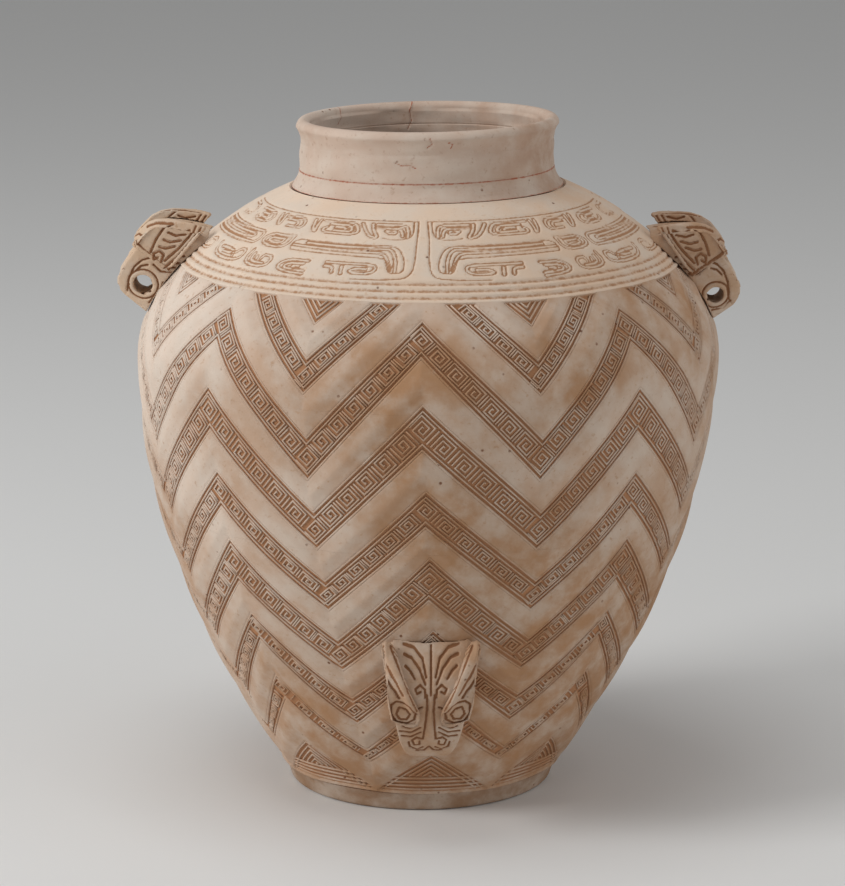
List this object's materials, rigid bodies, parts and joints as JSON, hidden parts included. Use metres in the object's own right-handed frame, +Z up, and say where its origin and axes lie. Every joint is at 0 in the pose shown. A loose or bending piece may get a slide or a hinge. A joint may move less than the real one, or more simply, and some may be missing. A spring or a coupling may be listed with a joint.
{
  "type": "pottery jar",
  "caption": "Tall clay storage jar with a high round shoulder, narrow foot and short flared neck, carved with zigzag bands, with animal-head cord lugs.",
  "frame": {"origin": "middle of the flat base, on the surface that the jar stands on", "axes": "+Z up out of the mouth; -Y towards the front of the jar, the side with the low lug; +X to the right of the front, along the line of the shoulder lugs"},
  "size_m": [0.3039, 0.285, 0.3329],
  "materials": {
    "foot_clay": "smooth unglazed clay, rubbed and earth-stained",
    "wall_clay": "burnished unglazed white clay, carved, with brown earth in the cuts",
    "shoulder_clay": "smooth unglazed white clay with fine cut lines",
    "neck_clay": "wiped unglazed white clay with pits and small chips",
    "lug_clay": "carved unglazed clay with brown earth in the cuts"
  },
  "bodies": {
    "root": {"base_slab": "foot_clay", "foot_ring": "foot_clay", "lower_wall": "wall_clay", "middle_wall": "wall_clay", "belly_wall": "wall_clay", "shoulder_wall": "wall_clay", "shoulder_band": "shoulder_clay", "neck_collar": "neck_clay", "neck": "neck_clay", "rim": "neck_clay", "left_lug": "lug_clay", "left_lug_front_horn": "lug_clay", "left_lug_back_horn": "lug_clay", "right_lug": "lug_clay", "right_lug_front_horn": "lug_clay", "right_lug_back_horn": "lug_clay", "front_lug": "lug_clay", "front_lug_left_horn": "lug_clay", "front_lug_right_horn": "lug_clay"}
  },
  "joints": []
}
